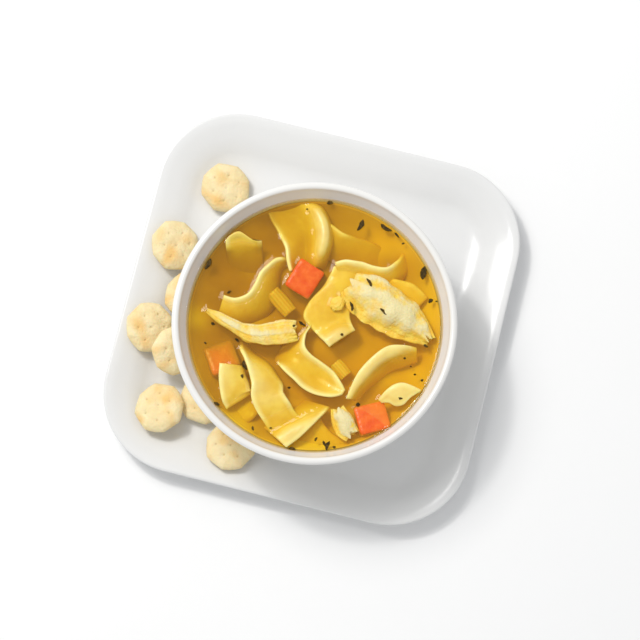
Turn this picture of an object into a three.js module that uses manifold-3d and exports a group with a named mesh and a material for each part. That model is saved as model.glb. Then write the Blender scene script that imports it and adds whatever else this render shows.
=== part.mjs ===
// Chicken noodle soup: a round white bowl of broth with wide egg noodles, chicken and carrot,
// standing on a rounded-square white plate with eight oyster crackers.
// Millimetres, +Z up. Origin: centre of the plate's foot, on the table.
import * as THREE from "three";
import { mergeVertices } from "three/addons/utils/BufferGeometryUtils.js";
import Module from "manifold-3d";

const wasm = await Module();
wasm.setup();

// Plate
const PLATE_HALF = 94.5; // half the side, over the rim
const PLATE_CORNER = 41; // corner radius of the outer edge
const PLATE_FLOOR = 5.5; // top of the flat middle
const PLATE_RIM = 14.2; // top of the rim
const PLATE_FOOT = 50; // half the side of the foot ring
const PLATE_TIGHTEST = 14; // least corner radius, in the middle of the plate
const CORNER_STEPS = 8;

// Bowl
const SERVE_TURN = 14; // degrees the serving is turned against the plate's sides
const BOWL_AT = [1, -11.2]; // bowl axis from the plate's centre, in the turned frame
const BOWL_BASE = 5.9; // underside of the foot, just clear of the plate
const BOWL_HEIGHT = 62;
const BOWL_RADIUS = 70.3; // outside, at the lip
const BOWL_MOUTH = 66.4; // inside, at the lip
const BOWL_FLOOR = 5.5; // inside floor above the foot
const BOWL_FLARE = 0.36; // power of the curve that both walls follow
const FOOT_RADIUS = 33;
const FOOT_HOLLOW = 2.4; // depth of the hollow inside the foot ring
const LIP_ROUND = 0.6; // height over which the lip is rounded
const ROUND_STEPS = 40; // facets round the bowl and the broth

// Soup
const FILL_DEPTH = 9; // lip down to the broth
const LEVEL = BOWL_BASE + BOWL_HEIGHT - FILL_DEPTH;
const CUT_GAP = 0.4; // left between touching pieces
const NOODLE_THICK = 1.7;
const NOODLE_ACROSS = 3; // facets across a noodle
const NOODLE_STEPS = 10; // lengths along a noodle
const CHICKEN_ROUND = 9; // facets round a piece of chicken
const CHICKEN_STEPS = 8;
const CHICKEN_RIDGE = 0.07; // share by which its fibres stand out

// Crackers
const CRACKER_RADIUS = 13.2;
const CRACKER_THICK = 9;
const CRACKER_GAP = 0.5;
const CRACKER_SIDES = 8;
const CRACKER_FLAT = 0.955; // reach of a side's middle against a corner's

const rad = (degrees) => (degrees * Math.PI) / 180;
const glaze = () => paint(0xf2f1ee, 0.12);
const brothPaint = () => paint(0xb07a28, 0.08);
const noodlePaint = () => paint(0xe6c860, 0.35);
const chickenPaint = () => paint(0xe9d79a, 0.6);
const carrotPaint = () => paint(0xee6a22, 0.35);
const crackerPaint = () => paint(0xf1dca6, 0.8);

function paint(color, roughness) {
  return new THREE.MeshStandardMaterial({ color, roughness, metalness: 0 });
}

// A closed skin through rings of equally many points, each end closed by a fan.
function loft(rings) {
  const count = rings[0].length;
  const positions = [];
  const index = [];
  rings.forEach((ring) => ring.forEach((p) => positions.push(p.x, p.y, p.z)));
  for (let i = 0; i + 1 < rings.length; i++) {
    for (let j = 0; j < count; j++) {
      const a = i * count + j;
      const b = i * count + ((j + 1) % count);
      index.push(a, b, b + count, a, b + count, a + count);
    }
  }
  [0, rings.length - 1].forEach((end, k) => {
    const centre = new THREE.Vector3();
    rings[end].forEach((p) => centre.addScaledVector(p, 1 / count));
    const tip = positions.length / 3;
    positions.push(centre.x, centre.y, centre.z);
    for (let j = 0; j < count; j++) {
      const a = end * count + j;
      const b = end * count + ((j + 1) % count);
      index.push(...(k === 0 ? [tip, b, a] : [tip, a, b]));
    }
  });
  const skin = new THREE.BufferGeometry();
  skin.setAttribute("position", new THREE.Float32BufferAttribute(positions, 3));
  skin.setIndex(index);
  return skin;
}

// Carries rows of numbers smoothly to evenly spaced steps along them.
function smoothRows(rows, steps) {
  const at = (i, k) => rows[Math.min(Math.max(i, 0), rows.length - 1)][k];
  return Array.from({ length: steps + 1 }, (_, n) => {
    const s = (n / steps) * (rows.length - 1);
    const i = Math.min(Math.floor(s), rows.length - 2);
    const f = s - i;
    return rows[0].map((_, k) => {
      const [a, b, c, d] = [at(i - 1, k), at(i, k), at(i + 1, k), at(i + 2, k)];
      const cubic = 2 * a - 5 * b + 4 * c - d + f * (3 * (b - c) + d - a);
      return b + 0.5 * f * (c - a + f * cubic);
    });
  });
}

// Direction along a row of points about step i, level with the table.
function heading(rows, i) {
  const a = rows[Math.max(i - 2, 0)];
  const b = rows[Math.min(i + 2, rows.length - 1)];
  return new THREE.Vector2(b[0] - a[0], b[1] - a[1]).normalize();
}

function solid(geometry) {
  const bare = geometry.clone();
  bare.deleteAttribute("normal");
  bare.deleteAttribute("uv");
  const merged = mergeVertices(bare, 1e-3);
  return new wasm.Manifold(
    new wasm.Mesh({
      numProp: 3,
      vertProperties: new Float32Array(merged.attributes.position.array),
      triVerts: new Uint32Array(merged.index.array),
    }),
  );
}

// The largest body left after the cutters have been taken away.
function cutBy(body, cutters) {
  const left = cutters.reduce((rest, cutter) => rest.subtract(cutter), body);
  return left.decompose().sort((a, b) => b.volume() - a.volume())[0];
}

function geometryOf(body) {
  const mesh = body.getMesh();
  const points = new Float32Array(mesh.numVert * 3);
  for (let i = 0; i < mesh.numVert; i++) {
    points.set(mesh.vertProperties.subarray(i * mesh.numProp, i * mesh.numProp + 3), i * 3);
  }
  const geometry = new THREE.BufferGeometry();
  geometry.setAttribute("position", new THREE.BufferAttribute(points, 3));
  geometry.setIndex(new THREE.BufferAttribute(new Uint32Array(mesh.triVerts), 1));
  return geometry;
}

function named(name, geometry, material) {
  const mesh = new THREE.Mesh(geometry, material);
  mesh.name = name;
  return mesh;
}

// Plate: rounded squares of one family, whose corner arcs share centres near the rim.
const PLATE_TOP = [
  [62, PLATE_FLOOR],
  [70, 6],
  [74.5, 7.4],
  [82, 10.9],
  [90, 13.7],
  [93, PLATE_RIM],
];
const CORNER_CENTRE = PLATE_HALF - PLATE_CORNER;

function roundedSquare(half, z) {
  const corner = Math.max(half - CORNER_CENTRE, PLATE_TIGHTEST);
  const reach = half - corner;
  const ring = [];
  for (let side = 0; side < 4; side++) {
    for (let k = 0; k <= CORNER_STEPS; k++) {
      const turn = rad(90 * side + (90 * k) / CORNER_STEPS);
      const cx = reach * (side === 0 || side === 3 ? 1 : -1);
      const cy = reach * (side < 2 ? 1 : -1);
      ring.push(new THREE.Vector3(cx + corner * Math.cos(turn), cy + corner * Math.sin(turn), z));
    }
  }
  return ring;
}

// Height of the plate's upper face at a point.
function plateHeight(x, y) {
  const dx = Math.max(Math.abs(x) - CORNER_CENTRE, 0);
  const dy = Math.max(Math.abs(y) - CORNER_CENTRE, 0);
  const half = CORNER_CENTRE + Math.hypot(dx, dy);
  const i = PLATE_TOP.findIndex((row) => row[0] > half);
  if (i === 0) return PLATE_FLOOR;
  if (i < 0) return PLATE_RIM;
  const [h0, z0] = PLATE_TOP[i - 1];
  const [h1, z1] = PLATE_TOP[i];
  return z0 + ((z1 - z0) * (half - h0)) / (h1 - h0);
}

// Closed by its underside, from the foot ring out to the rim: half side and height of each square.
function makePlate() {
  const under = [
    [PLATE_FOOT - 5, 1.4],
    [PLATE_FOOT - 3.5, 0],
    [PLATE_FOOT, 0],
    [PLATE_FOOT + 2.5, 1.5],
    [69, 2.6],
    [81, 7.2],
    [91, 11.4],
    [PLATE_HALF, 13.2],
  ];
  const over = [[PLATE_HALF - 0.4, PLATE_RIM - 0.3], ...PLATE_TOP.slice().reverse()];
  return named("plate", loft([...under, ...over].map(([h, z]) => roundedSquare(h, z))), glaze());
}

// Bowl: both walls open like a power of the height above the floor.
function innerRadius(height) {
  const share = (height - BOWL_FLOOR) / (BOWL_HEIGHT - LIP_ROUND - BOWL_FLOOR);
  return BOWL_MOUTH * Math.max(share, 0) ** BOWL_FLARE;
}

function outerRadius(height) {
  const share = (height - FOOT_HOLLOW) / (BOWL_HEIGHT - FOOT_HOLLOW);
  return Math.max(FOOT_RADIUS, BOWL_RADIUS * Math.max(share, 0) ** BOWL_FLARE);
}

// Turns a profile of radii and heights about the bowl's axis.
function turned(profile) {
  const points = profile.map(([r, h]) => new THREE.Vector2(r, BOWL_BASE + h));
  return new THREE.LatheGeometry(points, ROUND_STEPS).rotateX(Math.PI / 2);
}

// Profile: hollow foot ring, outside up to the lip, then inside down to the floor.
function makeBowl() {
  const lip = BOWL_HEIGHT - LIP_ROUND;
  const outside = [8, 15, 25, 38, 59].map((h) => [outerRadius(h), h]);
  const inside = [lip, 53, 40, 28, 18, 11, 7.5, 6.1].map((h) => [innerRadius(h), h]);
  return turned([
    [0, FOOT_HOLLOW],
    [FOOT_RADIUS - 4.5, FOOT_HOLLOW],
    [FOOT_RADIUS - 3.5, 0],
    [FOOT_RADIUS, 0],
    ...outside,
    [BOWL_RADIUS - LIP_ROUND, lip],
    [(BOWL_RADIUS + BOWL_MOUTH) / 2, BOWL_HEIGHT],
    ...inside,
    [0, BOWL_FLOOR],
  ]);
}

// Profile of the bowl's inside up to the broth, a gap and a facet's depth clear of the wall.
function wallInside(gap) {
  const facet = 0.5;
  const clear = (h) => innerRadius(h - facet) - gap - facet / 2;
  const rows = [9, 13, 20, 30, 42, LEVEL - BOWL_BASE].map((h) => [clear(h), h]);
  return [[0, BOWL_FLOOR + gap + facet / 2], ...rows];
}

// Broth: fills the bowl to the level, a hair inside its wall.
function makeBroth() {
  return turned([...wallInside(CUT_GAP), [0, LEVEL - BOWL_BASE]]);
}

// A noodle: an even strip led along its raised edge. Rows: x, y, height of that edge over the
// broth, fall of the strip to the right of the way it runs (degrees), width, and sag.
function noodle(rows, grow) {
  const run = smoothRows(rows, NOODLE_STEPS);
  return loft(
    run.map((row, i) => {
      const [x, y, z, fall, width, sag] = row;
      const ahead = heading(run, i);
      const out = new THREE.Vector3(ahead.y, -ahead.x, 0).multiplyScalar(Math.cos(rad(fall)));
      out.z = -Math.sin(rad(fall));
      const up = new THREE.Vector3(ahead.y, -ahead.x, 0).multiplyScalar(Math.sin(rad(fall)));
      up.z = Math.cos(rad(fall));
      const end = i === 0 ? -grow : i === run.length - 1 ? grow : 0;
      const point = (k, side) => {
        const s = k / NOODLE_ACROSS;
        const lift = (side * NOODLE_THICK) / 2 + side * grow - 4 * sag * s * (1 - s);
        return new THREE.Vector3(x + ahead.x * end, y + ahead.y * end, LEVEL + z)
          .addScaledVector(out, s * width + (2 * s - 1) * grow)
          .addScaledVector(up, lift);
      };
      const ring = [];
      for (let k = 0; k <= NOODLE_ACROSS; k++) ring.push(point(k, 1));
      for (let k = NOODLE_ACROSS; k >= 0; k--) ring.push(point(k, -1));
      return ring;
    }),
  );
}

// A torn piece of chicken along its fibres. Rows: x, y, middle height, half width, half height.
function chicken(rows, grow) {
  const run = smoothRows(rows, CHICKEN_STEPS);
  return loft(
    run.map((row, i) => {
      const [x, y, z, halfWidth, halfHeight] = row;
      const ahead = heading(run, i);
      const end = i === 0 ? -grow : i === run.length - 1 ? grow : 0;
      return Array.from({ length: CHICKEN_ROUND }, (_, k) => {
        const turn = (-2 * Math.PI * k) / CHICKEN_ROUND;
        const ridge = 1 + CHICKEN_RIDGE * Math.cos(3 * turn + i);
        const side = Math.cos(turn) * (halfWidth * ridge + grow);
        const lift = Math.sin(turn) * (halfHeight * ridge + grow);
        return new THREE.Vector3(
          x + ahead.x * end + ahead.y * side,
          y + ahead.y * end - ahead.x * side,
          LEVEL + z + lift,
        );
      });
    }),
  );
}

// A diced carrot. Place: x, y, height of the middle, turn and two tilts (degrees), three sides.
function carrot(place, grow) {
  const [x, y, z, turn, tiltX, tiltY, ...sides] = place;
  const [a, b, c] = sides.map((side) => side + 2 * grow);
  const cube = new THREE.BoxGeometry(a, b, c);
  cube.rotateX(rad(tiltX));
  cube.rotateY(rad(tiltY));
  cube.rotateZ(rad(turn));
  cube.translate(x, y, LEVEL + z);
  return cube;
}

const NOODLES = {
  noodle_arch: [
    [-13.6, 29.5, 0.4, 82, 4, 0],
    [-14, 36, 1.6, 58, 9, 0],
    [-17, 44, 2, 36, 10.5, 0.4],
    [-19.9, 50.6, 1.6, 34, 9, 0.2],
    [-18.4, 55.4, 0.7, 38, 7, 0],
    [-12.4, 58.8, 0.6, 42, 7, 0],
    [-4.5, 59.4, 1.4, 46, 9, 0.6],
    [1.8, 55.8, 2.4, 60, 10, 0.4],
    [4.9, 49.6, 3, 72, 10, 0],
    [5.2, 42.4, 3.2, 77, 8, 0],
    [3.4, 35.2, 1.4, 78, 6, 0],
  ],
  noodle_tip: [
    [-26, 44.6, 0.2, -3, 18, -1],
    [-25.6, 38.5, -1, -3, 18, -0.7],
    [-25, 31.5, -4.6, 0, 17, 0],
    [-24.8, 25, -8.2, 4, 15, 0],
  ],
  noodle_wave: [
    [-44.4, 14.8, 0.4, 25, 7, 0],
    [-39, 13.1, 1.4, 32, 11, 0],
    [-33.5, 14.8, 1.8, 38, 13, 0],
    [-29.3, 20, 1.9, 40, 13, 0],
    [-26.6, 25.8, 1.8, 42, 11, 0],
    [-22, 30.6, 1.6, 48, 8, 0],
    [-16.8, 33.2, 0.8, 60, 5, 0],
  ],
  noodle_ruffle: [
    [10, 31, 0.8, 30, 10, 0],
    [15.5, 32, 1.8, 40, 11, 0],
    [22.5, 31, 2.1, 44, 11, 0],
    [30, 28.6, 2, 46, 11, 0],
    [36, 28.6, 1.4, 48, 11, 0],
    [40.6, 31.8, -0.4, 52, 9, 0],
  ],
  noodle_centre: [
    [5.8, -9.4, 2.2, -2, 16, -0.4],
    [2.4, -5, 0.4, -2, 16, 0],
    [-1.4, 1.2, -1.6, 0, 16, 0],
    [-2.8, 8, -2.8, 0, 15, 0],
    [-1.4, 14.6, -3.8, 2, 14, 0],
    [2.2, 20.4, -4.8, 4, 12, 0],
    [7, 25, -5.4, 4, 10, 0],
  ],
  noodle_left: [
    [-42.8, -41.6, -0.6, 8, 13, 0],
    [-45, -37.6, 0.9, 8, 13, 0],
    [-46.2, -31.5, 1.7, 9, 12, 0],
    [-46.7, -25, 1.9, 12, 10, -0.5],
    [-46.4, -19.2, 1.9, 14, 8.5, -0.6],
  ],
  noodle_long: [
    [-20.5, -54, -4.4, -4, 15, 0],
    [-25, -47.5, -1.2, -4, 15.5, 0],
    [-28.8, -41.5, 0.9, 0, 15.5, 0],
    [-30.9, -35.5, 1.8, 6, 14, 0],
    [-30.8, -28.5, 2.5, 14, 11, 0],
    [-32.8, -21, 2.8, 30, 8, 0],
    [-35.3, -13.6, 1.4, 62, 6, 0],
  ],
  noodle_flap: [
    [5.6, -43, -1.4, 30, 7, 0],
    [0, -49.3, 0.9, 33, 8, 0],
    [-6.6, -55.2, 2, 35, 8.5, 0],
    [-12, -59.4, 2.1, 35, 8.5, 0],
  ],
  noodle_trough: [
    [14.6, -32.8, 0.4, 0, 2.5, 0.2],
    [8, -35.6, 1.7, 0, 11.5, 2.4],
    [0, -34.4, 2, 0, 15.5, 3.6],
    [-6.8, -31, 2, 0, 16.5, 4],
    [-11, -26.6, 1.4, -1, 17, 4],
    [-13.5, -19, -2.6, -15, 14, 2],
    [-12.6, -10, -6.6, -44, 11, 0.6],
    [-9.2, -2.6, -7, -52, 10, 0],
  ],
  noodle_arc: [
    [16.6, -31.8, 0.6, 55, 5, 0],
    [22.2, -21.8, 2.3, 38, 9, 0],
    [28.2, -14, 2.7, 30, 12, 0],
    [34.6, -10.4, 2.5, 26, 12, 0],
    [41, -10.4, 1.4, 24, 10, 0],
    [47, -12.6, -0.8, 24, 7, 0],
  ],
  noodle_fold: [
    [31.4, -36.8, 0.3, 8, 2, 0],
    [34.6, -32.9, 1.7, 12, 6.5, -0.8],
    [38.6, -29.9, 2.6, 16, 9.5, -1],
    [43, -29.1, 2.6, 16, 9.5, -0.8],
    [47.8, -30.6, 1.7, 12, 5.5, -0.4],
    [51.6, -32.8, 0.4, 8, 1.6, 0],
  ],
};

const CHICKEN = {
  chicken_chunk: [
    [15.6, 20.6, -0.4, 3.6, 2.2],
    [20.5, 18, -0.4, 8.6, 4.6],
    [28, 11.8, 0, 11.4, 5.8],
    [37, 6, 0.2, 11.6, 6],
    [46, 1, 0, 9.6, 5],
    [52.6, -4, 0, 6, 3.6],
    [57, -8.4, 0.2, 1.8, 1.6],
  ],
  chicken_bit: [
    [8.6, 8, 0.8, 1.6, 0.8],
    [11, 10, 1.2, 3.6, 1.7],
    [13.4, 12.6, 1.1, 2.2, 1.4],
  ],
  chicken_shred: [
    [-54.6, 7, 0.2, 0.7, 0.7],
    [-48, 3.6, 0.3, 2.3, 1.7],
    [-40, -0.6, 0.4, 3, 2.4],
    [-32, -4.3, 0.4, 4.3, 2.8],
    [-23, -5.1, 0.4, 5.1, 3],
    [-14, -4.2, 0.4, 5.8, 3],
    [-7.6, -3.6, 0.2, 3, 1.8],
  ],
  chicken_flake: [
    [12.6, -40.6, 0.4, 1.6, 1],
    [13.4, -45, 0.6, 3.6, 2.2],
    [15.6, -49.6, 0.6, 4.4, 2.6],
    [19, -54, 0.4, 2, 1.2],
  ],
};

const CARROTS = {
  carrot_cube: [-4.9, 23.3, -3.3, 57, 5, -7, 15.6, 14, 11],
  carrot_wedge: [29.4, -45.4, -3, 8, 3, 4, 14, 13.4, 6.2],
};

// Where each carries on under a neighbour, it is cut clear of that neighbour.
const UNDER = {
  noodle_arch: ["carrot_cube"],
  noodle_tip: ["noodle_wave"],
  noodle_wave: ["carrot_cube", "noodle_arch"],
  noodle_ruffle: ["chicken_chunk"],
  noodle_centre: ["carrot_cube", "chicken_chunk"],
  noodle_long: ["noodle_flap", "noodle_left"],
  noodle_trough: ["chicken_shred", "noodle_arc", "noodle_flap"],
  noodle_arc: ["chicken_chunk"],
  carrot_wedge: ["noodle_fold", "chicken_flake"],
};

// Every piece in the soup, kept inside the bowl, and the broth cut round them all.
function makeFood() {
  const mouth = BOWL_MOUTH - 1.5;
  const room = solid(turned([...wallInside(0.7), [mouth, BOWL_HEIGHT], [0, BOWL_HEIGHT]]));
  const kinds = [
    [NOODLES, noodle],
    [CHICKEN, chicken],
    [CARROTS, carrot],
  ];
  const bodies = {};
  const cutters = {};
  kinds.forEach(([pieces, shape]) => {
    Object.entries(pieces).forEach(([name, rows]) => {
      bodies[name] = solid(shape(rows, 0));
      cutters[name] = solid(shape(rows, CUT_GAP));
    });
  });
  Object.entries(UNDER).forEach(([name, tops]) => {
    bodies[name] = cutBy(bodies[name], tops.map((top) => cutters[top]));
  });
  Object.keys(bodies).forEach((name) => {
    bodies[name] = bodies[name].intersect(room);
  });
  const broth = cutBy(solid(makeBroth()), Object.values(cutters));
  return { bodies, broth };
}

// Cracker: an eight-sided puffed biscuit with a pale rounded side.
// Rows: share of the radius, and share of the thickness.
const CRACKER_ROWS = [
  [0.62, -0.5],
  [0.94, -0.26],
  [1, 0],
  [0.93, 0.28],
  [0.66, 0.47],
];

function crackerRing(share, height) {
  const points = 2 * CRACKER_SIDES;
  return Array.from({ length: points }, (_, k) => {
    const turn = (2 * Math.PI * k) / points;
    const r = CRACKER_RADIUS * share * (k % 2 === 0 ? 1 : CRACKER_FLAT);
    return new THREE.Vector3(r * Math.cos(turn), r * Math.sin(turn), height * CRACKER_THICK);
  });
}

// Lays a cracker on the plate: x, y, spin, lean direction, lean angle, and extra height.
function makeCracker(name, [x, y, spin, way, lean, lift]) {
  const geometry = loft(CRACKER_ROWS.map(([share, height]) => crackerRing(share, height)));
  const axis = new THREE.Vector3(-Math.sin(rad(way)), Math.cos(rad(way)), 0);
  geometry.rotateZ(rad(spin));
  geometry.applyMatrix4(new THREE.Matrix4().makeRotationAxis(axis, rad(lean)));
  const p = geometry.attributes.position;
  let rest = 0;
  for (let i = 0; i < p.count; i++) {
    rest = Math.max(rest, plateHeight(x + p.getX(i), y + p.getY(i)) - p.getZ(i));
  }
  geometry.translate(x, y, rest + CRACKER_GAP + lift);
  return named(name, geometry, crackerPaint());
}

// x, y, spin, direction in which the biscuit drops, drop angle, height over the plate
const CRACKERS = [
  [-59.6, 54.4, 30, 315, 8, 0],
  [-77.1, 18.5, 38, 0, 20, 0],
  [-63.6, -4.6, 33, 0, 9, 0],
  [-79, -25.7, 37, 0, 21, 0],
  [-62.8, -34.4, 10, 350, 30, 5],
  [-63.6, -64.4, 25, 150, 11, 2],
  [-42.8, -54, 15, 0, 3, 0],
  [-24, -74, 40, 90, 9, 0],
];

// The bowl and all it holds, turned together on the plate.
function makeServing() {
  const serving = new THREE.Group();
  const upright = new THREE.Vector3(0, 0, 1);
  serving.position.set(...BOWL_AT, 0).applyAxisAngle(upright, rad(SERVE_TURN));
  serving.rotation.z = rad(SERVE_TURN);
  serving.add(named("bowl", makeBowl(), glaze()));
  const { bodies, broth } = makeFood();
  serving.add(named("broth", geometryOf(broth), brothPaint()));
  const paints = { noodle: noodlePaint, chicken: chickenPaint, carrot: carrotPaint };
  Object.entries(bodies).forEach(([name, body]) => {
    const food = name.split("_")[0];
    serving.add(named(name, geometryOf(body), paints[food]()));
  });
  return serving;
}

const group = new THREE.Group();
group.add(makePlate());
group.add(makeServing());
CRACKERS.forEach((place, i) => group.add(makeCracker("cracker_" + (i + 1), place)));

export default group;
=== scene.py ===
"""Chicken noodle soup in a round white bowl, on a rounded-square white plate with oyster crackers.

Metres, +Z up. The sizes below are in millimetres and are turned into metres where each mesh is made.
"""

import math

import bmesh
import bpy
import numpy as np
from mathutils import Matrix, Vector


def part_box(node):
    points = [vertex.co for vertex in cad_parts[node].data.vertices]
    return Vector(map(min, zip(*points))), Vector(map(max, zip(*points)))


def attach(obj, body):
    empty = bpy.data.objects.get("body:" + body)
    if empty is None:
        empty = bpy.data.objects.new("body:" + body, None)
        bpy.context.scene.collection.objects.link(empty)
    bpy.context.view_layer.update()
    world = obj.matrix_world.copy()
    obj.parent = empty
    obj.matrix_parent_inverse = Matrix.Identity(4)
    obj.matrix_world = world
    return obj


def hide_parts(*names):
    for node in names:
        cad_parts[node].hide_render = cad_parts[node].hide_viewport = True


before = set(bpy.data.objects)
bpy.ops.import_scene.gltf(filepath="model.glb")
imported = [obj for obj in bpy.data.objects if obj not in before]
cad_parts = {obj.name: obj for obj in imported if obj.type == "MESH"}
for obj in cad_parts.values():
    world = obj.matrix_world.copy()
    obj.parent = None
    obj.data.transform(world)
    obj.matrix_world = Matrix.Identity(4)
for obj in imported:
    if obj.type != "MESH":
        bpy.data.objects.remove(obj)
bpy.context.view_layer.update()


# --- Plate ----------------------------------------------------------------------------------
# A serving plate of white glazed porcelain, cast as a rounded square: a flat well, a soft bend
# and a low rising rim, over a square foot ring. It stands on the table by that ring.
PLATE_CORNER_CENTRE = 53.5  # middle of the rim's corner arcs, from the plate's middle
PLATE_TIGHTEST = 14.0       # least corner radius
PLATE_ROWS = [              # half side and height, from under the middle out and over the rim
    (45.0, 1.4), (46.4, 0.2), (48.2, 0.0), (50.0, 0.1), (52.5, 1.5), (60.0, 2.1), (69.0, 2.9),
    (81.0, 7.4), (91.0, 11.6), (94.2, 13.0), (94.5, 13.6), (94.0, 14.1), (93.0, 14.2),
    (90.0, 13.7), (86.0, 12.4), (82.0, 10.9), (78.0, 9.0), (74.5, 7.2), (71.0, 6.1), (67.0, 5.6),
    (62.0, 5.5)]


def smooth_rows(rows, steps):
    """Catmull-Rom: each number of the rows follows a cubic through its four nearest rows."""
    rows = np.asarray(rows, float)
    s = np.linspace(0, len(rows) - 1, steps + 1)
    i = np.minimum(s.astype(int), len(rows) - 2)
    f = (s - i)[:, None]
    pad = np.vstack([rows[:1], rows, rows[-1:]])
    a, b, c, d = pad[i], pad[i + 1], pad[i + 2], pad[i + 3]
    return b + 0.5 * f * (c - a + f * (2 * a - 5 * b + 4 * c - d + f * (3 * (b - c) + d - a)))


def closed_skin(rings):
    """Quads between each ring and the next; the first and last rings are drawn in to their middles."""
    ends = [np.broadcast_to(r.mean(0), r.shape)[None] for r in (rings[0], rings[-1])]
    rings = np.concatenate([ends[0], rings, ends[1]])
    n, m = rings.shape[:2]
    row = np.arange(n - 1)[:, None] * m
    here, there = np.arange(m)[None], (np.arange(m) + 1)[None] % m
    quads = np.stack([row + here, row + there, row + m + there, row + m + here], -1)
    return rings.reshape(-1, 3), quads.reshape(-1, 4)


def put_mesh(name, points, quads, material, values=None):
    """A mesh object from whole arrays: equal points are merged, then the faces turned outward."""
    mesh = bpy.data.meshes.new(name)
    mesh.from_pydata(points.tolist(), [], quads.tolist())
    for key, array in (values or {}).items():
        mesh.attributes.new(key, "FLOAT", "POINT").data.foreach_set(
            "value", np.asarray(array, np.float32).ravel())
    work = bmesh.new()
    work.from_mesh(mesh)
    bmesh.ops.remove_doubles(work, verts=work.verts, dist=2e-6)
    bmesh.ops.dissolve_degenerate(work, edges=work.edges, dist=1e-6)
    bmesh.ops.recalc_face_normals(work, faces=work.faces)
    work.to_mesh(mesh)
    work.free()
    mesh.shade_smooth()
    mesh.materials.append(material)
    piece = bpy.data.objects.new(name, mesh)
    bpy.context.scene.collection.objects.link(piece)
    return piece


def rounded_square(half, height, corner_steps=20, side_steps=12):
    """One ring: four corner arcs joined by straight sides, level at a height."""
    corner = max(half - PLATE_CORNER_CENTRE, PLATE_TIGHTEST)
    reach = half - corner
    arc = np.radians(np.linspace(0, 90, corner_steps + 1))
    along = np.linspace(reach, -reach, side_steps + 1)[1:-1]
    quarter = np.vstack([
        np.stack([reach + corner * np.cos(arc), reach + corner * np.sin(arc)], 1),
        np.stack([along, np.full(along.size, half)], 1)])
    sides = []
    for k in range(4):
        c, s = round(math.cos(k * math.pi / 2)), round(math.sin(k * math.pi / 2))
        sides.append(quarter @ np.array([[c, s], [-s, c]], float))
    flat = np.vstack(sides)
    return np.column_stack([flat, np.full(len(flat), height)])


def new_material(name, **sockets):
    """A material of one Principled shader, with plain values set on that shader's own sockets.
    Returns it with its node tree and the shader's inputs."""
    material = bpy.data.materials.new(name)
    material.use_nodes = True
    face = material.node_tree.nodes["Principled BSDF"].inputs
    for key, value in sockets.items():
        face[key.replace("_", " ")].default_value = value
    return material, material.node_tree, face


def add_node(tree, kind, values=(), **settings):
    """A node in a material's or a group's tree, with its settings and plain input values."""
    node = tree.nodes.new(kind)
    for key, value in settings.items():
        setattr(node, key, value)
    for key, value in dict(values).items():
        node.inputs[key].default_value = value
    return node


def remap(tree, value, low, high, to_low=0.0, to_high=1.0):
    """Spreads a value between two levels out to another two, and holds it there beyond them."""
    levels = {"From Min": low, "From Max": high, "To Min": to_low, "To Max": to_high}
    node = add_node(tree, "ShaderNodeMapRange", levels)
    tree.links.new(value, node.inputs["Value"])
    return node.outputs["Result"]


def new_group(name, inputs, output, kind):
    """A shader group with named inputs and one named output. Returns its tree, the inputs as
    they arrive inside, and the socket that leads out."""
    group = bpy.data.node_groups.new(name, "ShaderNodeTree")
    for key, socket_kind in inputs.items():
        group.interface.new_socket(key, in_out="INPUT", socket_type=socket_kind)
    group.interface.new_socket(output, in_out="OUTPUT", socket_type=kind)
    given = add_node(group, "NodeGroupInput").outputs
    return group, given, add_node(group, "NodeGroupOutput").inputs[output]


def mottle_group():
    """Shader group: 0..1 mask from noise in the object's own coordinates, spread between levels."""
    inputs = dict.fromkeys(("Scale", "Detail", "From", "To"), "NodeSocketFloat")
    group, given, mask = new_group("Mottle", inputs, "Mask", "NodeSocketFloat")
    link = group.links.new
    noise = add_node(group, "ShaderNodeTexNoise")
    spread = add_node(group, "ShaderNodeMapRange")
    link(add_node(group, "ShaderNodeTexCoord").outputs["Object"], noise.inputs["Vector"])
    link(given["Scale"], noise.inputs["Scale"])
    link(given["Detail"], noise.inputs["Detail"])
    link(noise.outputs["Fac"], spread.inputs["Value"])
    link(given["From"], spread.inputs["From Min"])
    link(given["To"], spread.inputs["From Max"])
    link(spread.outputs["Result"], mask)
    return group


MOTTLE = mottle_group()


def mottle(tree, scale, spread=0.3, detail=3.0):
    """The mask of the Mottle group: it runs from 0 to 1 over that spread of the noise's middle."""
    values = {"Scale": scale, "Detail": detail, "From": 0.5 - spread / 2, "To": 0.5 + spread / 2}
    return add_node(tree, "ShaderNodeGroup", values, node_tree=MOTTLE).outputs["Mask"]


def blend_colours(tree, mask, low, high):
    """Mixes two colours by a mask; either colour is a plain one or a socket."""
    node = add_node(tree, "ShaderNodeMix", data_type="RGBA")
    tree.links.new(mask, node.inputs["Factor"])
    for key, value in (("A", low), ("B", high)):
        socket = [i for i in node.inputs if i.name == key and i.type == "RGBA"][0]
        if isinstance(value, tuple):
            socket.default_value = (*value, 1)
        else:
            tree.links.new(value, socket)
    return [o for o in node.outputs if o.type == "RGBA"][0]


def white_glaze(name, tint):
    """White porcelain under a clear glaze: even colour, a mirror-soft face, faintly uneven gloss."""
    material, tree, face = new_material(name, IOR=1.5)
    dull = tuple(0.975 * c for c in tint)
    tree.links.new(blend_colours(tree, mottle(tree, 18), dull, tint), face["Base Color"])
    tree.links.new(remap(tree, mottle(tree, 30, 0.4), 0, 1, 0.14, 0.24), face["Roughness"])
    return material


plate_low, plate_high = (np.array(v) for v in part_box("plate"))
plate_at = np.array([*(plate_low + plate_high)[:2] / 2, plate_low[2]])
plate_profile = smooth_rows(PLATE_ROWS, 84)
points, quads = closed_skin(np.stack([rounded_square(h, z) for h, z in plate_profile]))
plate = put_mesh("serving_plate", points / 1000 + plate_at, quads,
                 white_glaze("plate glaze", (0.79, 0.79, 0.785)))
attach(plate, "root")
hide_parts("plate")


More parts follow.
